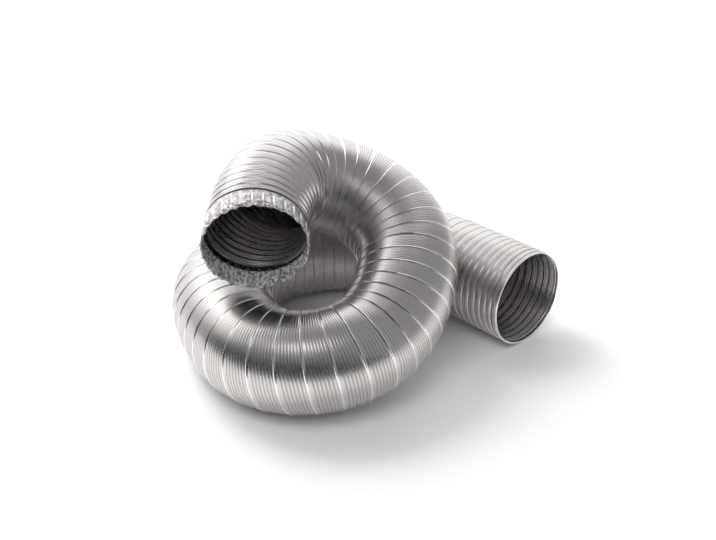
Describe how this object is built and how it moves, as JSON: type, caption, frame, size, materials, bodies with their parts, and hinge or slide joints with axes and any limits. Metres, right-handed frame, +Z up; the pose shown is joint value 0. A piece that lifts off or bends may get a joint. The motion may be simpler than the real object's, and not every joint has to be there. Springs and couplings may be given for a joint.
{
  "type": "flexible duct",
  "caption": "Semi-rigid corrugated aluminium duct lying in one loop, with a plain cuff at one end and a fluted, crimped collar at the other.",
  "frame": {"origin": "on the floor, under the middle of the duct's box", "axes": "+X out of the plain end along its straight tail, +Y along the longest side of the box, +Z up from the floor"},
  "size_m": [0.3264, 0.3823, 0.2315],
  "materials": {
    "aluminium_strip": "satin"
  },
  "bodies": {
    "root": {"duct": "aluminium_strip"}
  },
  "joints": []
}
